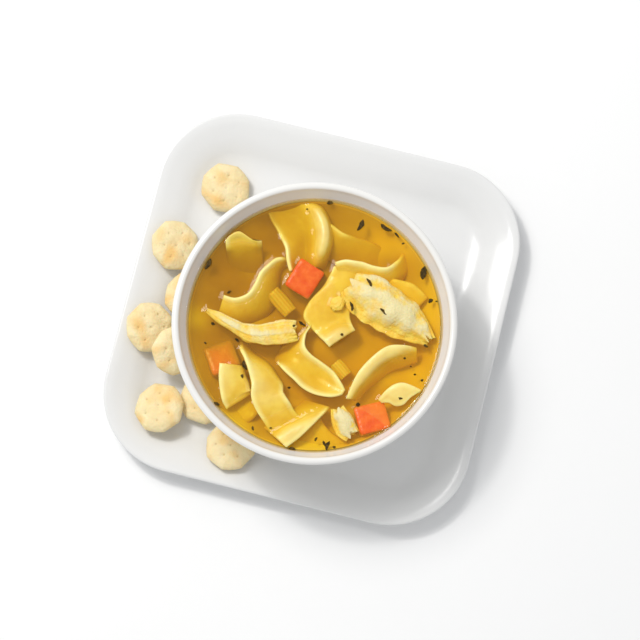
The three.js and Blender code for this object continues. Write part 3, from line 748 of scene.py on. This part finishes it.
def poached_meat():
    """Poached chicken: cream where dry and proud, broth-yellow in the grooves, fine grain bump."""
    material, tree, face = new_material(
        "poached chicken", Roughness=0.36, IOR=1.4, Subsurface_Weight=0.2, Subsurface_Scale=0.002,
        Subsurface_Radius=(1.0, 0.7, 0.3))
    wet = blend_colours(tree, mottle(tree, 260, 0.2), (0.90, 0.56, 0.055), (0.92, 0.67, 0.10))
    dry = blend_colours(tree, remap(tree, stored(tree, "pale"), 0.02, 0.4), wet, (0.83, 0.72, 0.37))
    tree.links.new(with_under_broth_light_and_shade(tree, dry), face["Base Color"])
    tree.links.new(fine_grain(tree, 900, 5, 0.5, 0.0006), face["Normal"])
    return material


MEAT = poached_meat()
for index, (node, (ridges, fray, slump, dryness, rows)) in enumerate(CHICKEN.items()):
    rings, values = torn_meat(rows, ridges, fray, slump, 40 + 3 * index)
    values["pale"] = values["pale"] * dryness
    food(node + "_torn", rings, values, MEAT, node, "chicken")


# --- Carrots --------------------------------------------------------------------------------
# Diced carrot, boiled: knife-cut blocks with slightly soft edges and faint grain. Two float at
# the top, one is sunk on the left.
BLOCK_POWER = 13        # how square the blocks are


def soft_block(sides, seed, steps=30):
    """A block with rounded edges: the point of a ball, divided by its own p-norm, which makes it
    a cube with soft edges, then scaled to the sides and moved by low waves."""
    lat = np.linspace(-np.pi / 2, np.pi / 2, steps + 1)[1:-1, None]
    lon = np.linspace(0, 2 * np.pi, 2 * steps, endpoint=False)[None]
    ball = np.stack([np.cos(lat) * np.cos(lon), np.cos(lat) * np.sin(lon), np.sin(lat) + 0 * lon], -1)
    norm = (np.abs(ball) ** BLOCK_POWER).sum(-1, keepdims=True) ** (1 / BLOCK_POWER)
    block = ball / norm * np.asarray(sides) / 2
    return block * (1 + 0.018 * waves(block, 9, seed)[..., None])


def carrot_flesh():
    """Boiled carrot: bright orange, a little translucent, faint darker cells, wet."""
    material, tree, face = new_material(
        "boiled carrot", Roughness=0.3, IOR=1.4, Subsurface_Weight=0.2, Subsurface_Scale=0.002,
        Subsurface_Radius=(1.0, 0.4, 0.1))
    flesh = blend_colours(tree, mottle(tree, 230, detail=4), (0.82, 0.10, 0.01), (0.90, 0.17, 0.02))
    tree.links.new(with_under_broth_light_and_shade(tree, flesh), face["Base Color"])
    tree.links.new(fine_grain(tree, 600, 4, 0.3, 0.0004), face["Normal"])
    return material


CARROT = carrot_flesh()
CARROT_DICE = [  # name, node, middle across, up and height, turn, two tilts, three sides
    ("diced_carrot", "carrot_cube", (-4.9, 23.3, -3.3), (57, 5, -7), (15.6, 14, 11)),
    ("carrot_slice", "carrot_wedge", (28, -46, -2.7), (14, -5, 5), (15.6, 14, 6.4)),
    ("sunk_carrot", None, (-45.5, -16.5, -7.5), (20, -8, 8), (15, 15, 10)),
]
for index, (name, node, middle, (turn, tilt_x, tilt_y), sides) in enumerate(CARROT_DICE):
    dice = soft_block(sides, 60 + index)
    inset = np.min(np.array(sides[:2]) / 2 - np.abs(dice[..., :2]), axis=-1)
    for axis, degrees in (((1, 0, 0), tilt_x), ((0, 1, 0), tilt_y), (UPRIGHT, turn)):
        dice = turned_about(dice, axis, degrees)
    food(name, dice + middle, {"edge": inset}, CARROT, node, "carrot")


# --- Celery ---------------------------------------------------------------------------------
# Short lengths of boiled celery stalk, gone glassy and nearly the broth's own colour, with the
# ribs showing as fine lines. They lie just under the surface.
CELERY = [  # across, up, height, turn (degrees), length and width
    (-16.3, 12, -3.8, 130, 14, 8), (12.8, -21.6, -3.2, 130, 9, 7)]


def laid(along, across, up, x, y, turn):
    """Turns a flat piece by degrees about its middle and lays it at a place in the serving."""
    c, s = math.cos(math.radians(turn)), math.sin(math.radians(turn))
    return np.stack([x + along * c - across * s, y + along * s + across * c, up], -1)


def celery_slice(x, y, z, turn, long, wide, steps=26):
    """A slab of stalk: square ends, a bowed back, ribs as cosine ridges along it."""
    s = np.linspace(-1, 1, steps + 1)[:, None]
    loop = np.linspace(0, 2 * np.pi, 64, endpoint=False)[None]
    full = np.sqrt(np.clip(1 - s ** 14, 0, 1))
    across, up = squarer(np.cos(loop), 0.7), squarer(np.sin(loop), 0.5)
    up = (0.75 * up + 0.16 * np.cos(4.5 * np.pi * across) * up - 1.3 * across ** 2) * full
    across = across * wide / 2 * (1 - 0.12 * s * s)
    along = s * long / 2 * (1 - 0.05 * (across / wide) ** 2)
    ribs = 0.5 + 0.5 * np.cos(4.5 * np.pi * 2 * across / wide) + 0 * along
    return laid(along, across, z + up, x, y, turn), ribs


def glassy_stalk():
    """Boiled celery: see-through green-gold flesh, paler along the ribs."""
    material, tree, face = new_material("boiled celery", Roughness=0.3, IOR=1.4,
                                        Subsurface_Weight=0.4, Subsurface_Scale=0.003)
    flesh = blend_colours(tree, mottle(tree, 500, 0.2), (0.70, 0.42, 0.10), (0.78, 0.50, 0.13))
    ribbed = blend_colours(tree, stored(tree, "ribs"), flesh, (0.86, 0.64, 0.24))
    tree.links.new(with_under_broth_light_and_shade(tree, ribbed), face["Base Color"])
    return material


STALK = glassy_stalk()
for index, slice_place in enumerate(CELERY):
    rings, ribs = celery_slice(*slice_place)
    food("celery_slice_%d" % (index + 1), rings, {"ribs": ribs}, STALK, None, "noodle")


# --- Broth ----------------------------------------------------------------------------------
# Golden chicken broth filling the bowl: a clear body that climbs a little where it wets the wall
# and the food, over a cloudy one, which is all that shows where the broth is deep.
WALL_CLIMB, WALL_REACH = 1.0, 1.3      # height of the climb at the wall, and its fall-off
FOOD_CLIMB, FOOD_REACH = 0.7, 1.0
WALL_GAP, CLOUDY_GAP = 0.06, 0.14      # both bodies stay this far off the bowl's inside
CELL = 0.35                            # the food's wetted points are thinned to one in a cell
MILKY_SHARE = 0.16                     # of the light that fat and fine meat scatter at the top
DIMMING = 300.0                        # absorption a metre
CLOUDY_DEPTH, CLOUDY_SHORE, CLOUDY_ROLL = 8.5, 6.0, 1.8  # the cloudy top: depth, slope, lumps
# The cloudy broth's colour is mostly painted shade and painted light: brown near the wall nearest the
# light, gold on the far side.
CLOUDY_LIGHT_AND_SHADE_SHARE = 0.7                     # of the colour that follows the light, not the drifts
GLOWS = [  # across, up, reach and strength of the paler patches where noodles lie deeper
    (26, 38, 12, 0.3), (13, 46, 6, 0.25), (50, 13, 9, 0.8), (54, 1, 7, 0.5), (-57, 4, 6, 0.5),
    (-30, 31, 7, 0.3), (-38, -49, 9, 0.6), (-13, -53, 9, 0.8), (4, -57, 8, 0.8), (49, -22, 6, 0.5),
    (47, -38, 6, 0.5), (-30, 5, 7, 0.35), (-8, -57, 7, 0.5), (22, -6, 13, 0.2),
    (36, -24, 8, 0.35)]


def broth_body():
    """Top: rings out to the wall, raised by exp(-distance / reach) near the wall and the food.
    Side: the bowl's own inside, a hair clear of it, down to the floor."""
    edge = float(inner_radius(FILL + WALL_CLIMB)) - WALL_GAP
    r = edge * (1 - np.linspace(1, 0, 150)[1:] ** 1.25)
    top = turned(np.column_stack([r, WALL_CLIMB * np.exp((r - edge) / WALL_REACH)]))
    marks = np.vstack(waterline)
    marks = marks[np.hypot(marks[:, 0], marks[:, 1]) < edge]
    cells = np.unique(np.round(marks[:, :2] / CELL).astype(int), axis=0) * CELL
    nearest = np.concatenate([
        np.sqrt(((part[:, None] - cells[None]) ** 2).sum(-1).min(1))
        for part in np.array_split(top[..., :2].reshape(-1, 2), 160)])
    climb = (FOOD_CLIMB * np.exp(-nearest / FOOD_REACH)).reshape(top.shape[:2])
    for axis in (0, 1, 0, 1):
        climb = (np.roll(climb, 1, axis) + 2 * climb + np.roll(climb, -1, axis)) / 4
    top[..., 2] += climb
    top[..., 2] += 0.02 * waves(top, 14, 3)
    depth = FILL - (FILL - BOWL_FLOOR - 0.4) * np.linspace(0, 1, 15)[1:] ** 0.8
    wall = turned(np.column_stack([inner_radius(depth) - WALL_GAP, depth - FILL]))
    return np.concatenate([top, wall])


def clear_broth():
    """Broth: what is behind it shows through, dimmed by plain absorption; its face mirrors by
    Fresnel, and a small share of fat and fine meat scatters golden light. Seen from within,
    the face does neither."""
    material, tree, _ = new_material("chicken broth", Base_Color=(0.90, 0.45, 0.05, 1),
                                     Roughness=0.5, Specular_IOR_Level=0.0)
    nodes, link = tree.nodes, tree.links.new
    clear = add_node(tree, "ShaderNodeBsdfTransparent")
    gloss = add_node(tree, "ShaderNodeBsdfGlossy", {"Roughness": 0.03})
    fresnel = add_node(tree, "ShaderNodeFresnel", {"IOR": 1.34})
    absorb = add_node(tree, "ShaderNodeVolumeAbsorption",
                      {"Density": DIMMING, "Color": (0.980, 0.950, 0.0, 1)})
    front = add_node(tree, "ShaderNodeMath", {0: 1.0}, operation="SUBTRACT")
    link(add_node(tree, "ShaderNodeNewGeometry").outputs["Backfacing"], front.inputs[1])
    mirror, cloud = (add_node(tree, "ShaderNodeMath", operation="MULTIPLY") for _ in range(2))
    link(fresnel.outputs["Fac"], mirror.inputs[1])
    cloud.inputs[1].default_value = MILKY_SHARE
    milky, face = (add_node(tree, "ShaderNodeMixShader") for _ in range(2))
    for share, mix, below, above in (
            (cloud, milky, clear.outputs["BSDF"], nodes["Principled BSDF"].outputs["BSDF"]),
            (mirror, face, milky.outputs["Shader"], gloss.outputs["BSDF"])):
        link(front.outputs["Value"], share.inputs[0])
        link(share.outputs["Value"], mix.inputs["Fac"])
        link(below, mix.inputs[1])
        link(above, mix.inputs[2])
    link(face.outputs["Shader"], nodes["Material Output"].inputs["Surface"])
    link(absorb.outputs["Volume"], nodes["Material Output"].inputs["Volume"])
    return material


def cloudy_body(around=256):
    """The deeper broth: a closed body whose top leaves the wall just under the level, falls off
    as 1 - exp(-distance / shore) to its depth, and rolls gently in waves."""
    r = (float(inner_radius(FILL - 1.5)) - CLOUDY_GAP) * np.linspace(0.02, 1, 60)
    under = 1 + CLOUDY_DEPTH * (1 - np.exp((r - r[-1]) / CLOUDY_SHORE))
    top = turned(np.column_stack([r, -under]), around)
    top[..., 2] += CLOUDY_ROLL * waves(top, 22, 8) * under[:, None] / CLOUDY_DEPTH
    depth = FILL - 3 - (FILL - BOWL_FLOOR - 4) * np.linspace(0, 1, 14) ** 0.8
    wall = turned(np.column_stack([inner_radius(depth) - CLOUDY_GAP, depth - FILL]), around)
    return np.concatenate([top, wall])


def cloudy_broth():
    """Where the broth is deep it only shows its own cloudy amber, browner in drifts and paler
    where noodles lie deeper down. Most of its colour is painted shade, browner towards the wall
    nearest the light, and painted light, golden on the far side."""
    material, tree, face = new_material("cloudy broth", Roughness=0.8, Specular_IOR_Level=0.0)
    drifts = blend_colours(tree, mottle(tree, 60, 0.4), DEEP_BROWN_DRIFT_AND_SHADE, DEEP_GOLD_DRIFT_AND_LIGHT)
    # Most of the colour: painted shade near the wall nearest the light, painted light on the far side.
    light_and_shade = add_node(tree, "ShaderNodeGroup", {"Share": CLOUDY_LIGHT_AND_SHADE_SHARE}, node_tree=UNDER_BROTH_LIGHT_AND_SHADE)
    tree.links.new(drifts, light_and_shade.inputs["Colour"])
    amber = blend_colours(tree, stored(tree, "glow"), light_and_shade.outputs["Colour"], (0.93, 0.68, 0.09))
    tree.links.new(amber, face["Base Color"])
    return material


points, quads = closed_skin(cloudy_body())
glow = sum(strength * np.exp(-((points[:, 0] - x) ** 2 + (points[:, 1] - y) ** 2) / reach ** 2)
           for x, y, reach, strength in GLOWS)
cloudy = put_mesh("cloudy_broth", to_part(points), quads, cloudy_broth(),
                  {"glow": np.minimum(glow, 1)})
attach(cloudy, "root")
points, quads = closed_skin(broth_body())
broth = put_mesh("clear_broth", to_part(points), quads, clear_broth())
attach(broth, "root")
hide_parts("broth")


# --- Herbs ----------------------------------------------------------------------------------
# Dried thyme and parsley: small dark curled leaves and crumbs floating on the broth and stuck
# to the food. Each is a thin pointed flake.
LEAVES = [  # across, up, length, width, turn, height over the broth
    (-52.4, 30.2, 6.2, 2.5, 62, 0.5), (-41.8, 16, 2.6, 1.2, 30, 1.0), (7.6, 60.6, 3.2, 1.8, 5, 0.4),
    (22.5, 49.6, 6.4, 2.4, 62, 0.6), (35.4, 48.4, 6.6, 2.4, -32, 0.6), (40.5, 44.5, 3.6, 1.2, -50, 0.5),
    (43.6, 40.2, 1.6, 0.9, 20, 0.5), (53.6, 25.6, 7.0, 2.9, 80, 0.6), (57, 11.6, 2.8, 1.8, 40, 0.5),
    (59.8, 11.4, 1.2, 0.9, 0, 0.5), (26.6, 19.8, 5.4, 1.5, -62, 5.0), (31.4, 23.6, 2.6, 1.1, -30, 1.0),
    (17.8, 8.4, 5.2, 1.5, -78, 3.6), (33.6, 5.4, 4.8, 1.5, -45, 6.0), (43.6, 13.2, 2.4, 1.0, -40, 2.0),
    (-6, 0.4, 4.2, 1.3, -35, 1.6), (-10.2, -1, 2.2, 1.0, 20, 2.4), (13.4, -5.4, 1.5, 1.3, 0, 3.3),
    (54.4, -10.6, 2.6, 1.4, -30, 0.5), (29.2, -22, 2.6, 2.3, 0, 0.5), (44, -16.6, 1.4, 1.0, 0, 0.4),
    (21.2, -39.6, 2.2, 1.9, 0, 0.6), (-49.6, 0.5, 2.2, 1.4, -30, 0.5), (-53.4, -9.2, 1.6, 1.0, -40, 0.4),
    (-38, -7.8, 2.8, 1.2, -40, 0.5), (-33.8, -20, 5.2, 1.8, -70, 0.5), (-35.6, -26, 3.6, 1.4, -110, 0.4),
    (-37, -25.4, 2.8, 1.2, 30, 0.4), (-47.6, -39, 3.2, 1.6, -25, 0.5), (-12.4, -31, 1.6, 1.2, 0, 0.4),
    (-29.8, -51, 2.4, 1.0, -80, 0.4), (-21.2, -51, 1.6, 0.9, 0, 0.4), (-10.8, -61.2, 3.6, 1.6, -10, 0.5),
    (0.8, -56.4, 2.4, 1.2, 60, 0.4), (6.6, -59.6, 5.0, 1.8, 70, 0.4), (4.8, -58.6, 3.4, 1.3, 115, 0.4),
    (9.6, -60.2, 1.8, 1.2, 0, 0.4), (41.8, -36.4, 2.2, 1.6, -20, 3.2), (49, -24.6, 1.4, 0.9, 0, 0.4),
    (52.4, -27.4, 1.6, 1.2, 30, 0.4), (47, -20.6, 1.0, 0.8, 0, 0.4), (-3.6, 57.2, 1.2, 0.9, 0, 2.2)]


def leaf(x, y, long, wide, turn, height, seed):
    """A pointed flake: half width = wide/2 * sin(pi s) ** 0.6, cupped across and curled lengthwise."""
    rng = np.random.default_rng(seed)
    s = np.linspace(0.02, 0.98, 9)[:, None]
    loop = np.linspace(0, 2 * np.pi, 10, endpoint=False)[None]
    half = wide / 2 * np.sin(np.pi * s) ** 0.6 * (1 + 0.25 * rng.uniform(-1, 1, s.shape))
    across = np.cos(loop) * half
    up = 0.16 * np.sin(loop) * np.sin(np.pi * s) ** 0.5 + rng.uniform(0.1, 0.5) * across ** 2 / wide
    up = up + rng.uniform(-0.5, 0.7) * (s - 0.5) ** 2 * long * 0.3
    bow = across + rng.uniform(-0.12, 0.12) * long * np.sin(np.pi * s)
    return laid((s - 0.5) * long + 0 * loop, bow, height + up, x, y, turn)


def dried_leaf():
    """Dried herb: dull, from near black to brown in mottled patches."""
    material, tree, face = new_material("dried herbs", Roughness=0.7, Specular_IOR_Level=0.12)
    dark, brown = (0.030, 0.020, 0.006), (0.11, 0.065, 0.014)
    tree.links.new(blend_colours(tree, mottle(tree, 700), dark, brown), face["Base Color"])
    return material


points, quads = joined([closed_skin(leaf(*place, 200 + index)) for index, place in enumerate(LEAVES)])
herbs = put_mesh("dried_herbs", to_part(points), quads, dried_leaf())
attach(herbs, "root")


# --- Oyster crackers ------------------------------------------------------------------------
# Small puffed soup crackers: eight-sided, docked with a ring of pin holes, baked pale with
# golden patches on top. Eight lie round the left of the plate, each tilted as it fell.
CRACKER_RADIUS = 13.2
CRACKER_THICK = 9.0
HOLE_RING = 0.52 * CRACKER_RADIUS
CRACKERS = [  # spin, direction in which the biscuit drops, drop angle (degrees)
    (30, 315, 8), (38, 0, 20), (33, 0, 9), (37, 0, 21), (10, 350, 30), (25, 150, 11), (15, 0, 3),
    (40, 90, 9)]


def cracker_shape(spin, way, lean, seed, rings_out=34, around=128):
    """An eight-sided puff. Plan: radius cos-rounded to eight sides. Section: both faces bulge as
    a round of (1 - r ** 3.2), meet at the side, and pin holes press dimples into the top."""
    rng = np.random.default_rng(seed)
    a = np.linspace(0, 2 * np.pi, around, endpoint=False)[None]
    side = np.mod(a, np.pi / 4) - np.pi / 8
    plan = 0.93 / np.cos(side) * (1 - 0.35 * (1 / np.cos(side) - 1))
    uneven = 0.02 * np.cos(2 * a + rng.uniform(0, 6.3)) + 0.012 * np.cos(5 * a + rng.uniform(0, 6.3))
    share = np.sin(np.linspace(0.03, 1, rings_out) * np.pi / 2)[:, None]
    x, y = (CRACKER_RADIUS * share * plan * (1 + uneven) * f(a) for f in (np.cos, np.sin))
    bulge = CRACKER_THICK * 0.47 * (np.sqrt(np.clip(1 - share ** 3.2, 0, 1)) + 0 * a)
    flat = np.stack([x, y, 0 * x], -1)
    holes = [(0.0, 0.0)]    # one in the middle and a ring that starts elsewhere on each biscuit
    for k in range(6):
        at = k * math.pi / 3 + 0.4 + spin
        holes.append((HOLE_RING * math.cos(at), HOLE_RING * math.sin(at)))
    press = 0 * x
    for hx, hy in holes:
        d = np.hypot(x - hx - rng.uniform(-0.6, 0.6), y - hy - rng.uniform(-0.6, 0.6))
        press = press + 0.6 * np.exp(-(d / 0.5) ** 2) + 0.3 * np.exp(-(d / 2.0) ** 2)
    top = bulge * (1 + 0.09 * waves(flat, 12, seed) + 0.04 * waves(flat, 5, seed + 1)) - press
    under = -bulge * (1 + 0.05 * waves(flat, 9, seed + 2))
    rings = np.concatenate([np.stack([x, y, under], -1), np.stack([x, y, top], -1)[::-1][1:]])
    gold = np.clip(0.45 + 0.75 * waves(flat, 11, seed + 3) - 1.1 * np.abs(share - 0.35), 0, 1)
    hole = np.clip((press - 0.35) / 0.9, 0, 1)
    values = {"gold": np.concatenate([0.6 * gold, gold[::-1][1:]]),
              "hole": np.concatenate([0 * hole, hole[::-1][1:]])}
    hinge = (-math.sin(math.radians(way)), math.cos(math.radians(way)), 0)
    return turned_about(turned_about(rings, UPRIGHT, spin), hinge, lean), values


def baked_biscuit():
    """Baked soda-cracker dough: matt cream, golden where the top browned, dark in the holes."""
    material, tree, face = new_material("baked cracker", Roughness=0.75, IOR=1.4,
                                        Subsurface_Weight=0.1, Subsurface_Scale=0.002)
    cream = blend_colours(tree, mottle(tree, 160), (0.86, 0.70, 0.38), (0.91, 0.77, 0.46))
    browned = blend_colours(tree, stored(tree, "gold"), cream, (0.87, 0.57, 0.21))
    holed = blend_colours(tree, stored(tree, "hole"), browned, (0.50, 0.33, 0.13))
    tree.links.new(holed, face["Base Color"])
    tree.links.new(fine_grain(tree, 700, 5, 0.5, 0.0005), face["Normal"])
    return material


BISCUIT = baked_biscuit()
for index, (spin, way, lean) in enumerate(CRACKERS):
    node = "cracker_%d" % (index + 1)
    middle = np.mean([np.array(v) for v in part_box(node)], axis=0)
    rings, values = cracker_shape(spin, way, lean, 90 + 5 * index)
    points, quads = closed_skin(rings / 1000)
    points += middle - (points.min(0) + points.max(0)) / 2
    cracker = put_mesh("oyster_cracker_%d" % (index + 1), points, quads, BISCUIT,
                       {key: with_ends(array) for key, array in values.items()})
    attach(cracker, "root")
    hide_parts(node)


# --- Table, light and camera ----------------------------------------------------------------
# A plain white table under soft light from a window-like panel up and to the left, with an
# even white room around, seen from nearly straight above.
TABLE_SIZE = 3.0
TABLE_GAP = 0.0002          # under the plate, so that the two faces never coincide
WINDOW_AZIMUTH, WINDOW_ELEVATION = math.radians(135 + SERVE_TURN), math.radians(60)
WINDOW_DISTANCE = 1.5
WINDOWS = [                 # name, side, power and colour: the window, and the gleam of its gap
    ("window", 0.55, 8.8, (1.0, 0.985, 0.96)), ("window_gap", 0.11, 4.6, (1.0, 0.99, 0.97))]
VIEW_TILT = math.radians(9)         # off straight down
VIEW_DISTANCE = 1.18
VIEW_TARGET = (2.7, 0.9, 0)         # millimetres from the bowl's axis, at the height of its lip
LENS, SENSOR = 136.6, 36


def plain_surface(name, colour):
    """A painted table top: matt, all but even."""
    material, tree, face = new_material(name, Roughness=0.7)
    dull = tuple(0.985 * c for c in colour)
    tree.links.new(blend_colours(tree, mottle(tree, 3, 0.4), dull, colour), face["Base Color"])
    return material


def facing(azimuth, tilt, distance):
    """Where a lamp or camera hangs to look at the origin from that azimuth and tilt off the
    vertical, and its rotation there."""
    place = distance * np.array([math.sin(tilt) * math.cos(azimuth),
                                 math.sin(tilt) * math.sin(azimuth), math.cos(tilt)])
    return place, (tilt, 0, azimuth + math.pi / 2)


corners = np.array([(-1, -1), (1, -1), (1, 1), (-1, 1)], float) * TABLE_SIZE / 2
table = put_mesh("white_table", np.column_stack([corners, np.full(4, plate_low[2] - TABLE_GAP)]),
                 np.array([[0, 1, 2, 3]]), plain_surface("white table", (0.93, 0.93, 0.93)))

scene = bpy.context.scene
scene.world = bpy.data.worlds.new("white room")
scene.world.use_nodes = True
backdrop = scene.world.node_tree.nodes["Background"]
backdrop.inputs["Color"].default_value = (0.97, 0.985, 1.0, 1)
backdrop.inputs["Strength"].default_value = 0.62

for name, size, power, colour in WINDOWS:
    light = bpy.data.lights.new(name, "AREA")
    light.shape, light.size, light.energy, light.color = "SQUARE", size, power, colour
    lamp = bpy.data.objects.new(name, light)
    scene.collection.objects.link(lamp)
    lamp.location, lamp.rotation_euler = facing(
        WINDOW_AZIMUTH, math.pi / 2 - WINDOW_ELEVATION, WINDOW_DISTANCE)

lens = bpy.data.cameras.new("camera")
lens.lens, lens.sensor_width = LENS, SENSOR
camera = bpy.data.objects.new("camera", lens)
scene.collection.objects.link(camera)
target = np.array([*bowl_at[:2], bowl_high[2]])
target += turned_about(VIEW_TARGET, UPRIGHT, SERVE_TURN) / 1000
back, camera.rotation_euler = facing(math.radians(SERVE_TURN - 90), VIEW_TILT, VIEW_DISTANCE)
camera.location = target + back
scene.camera = camera
scene.view_settings.view_transform = "Standard"
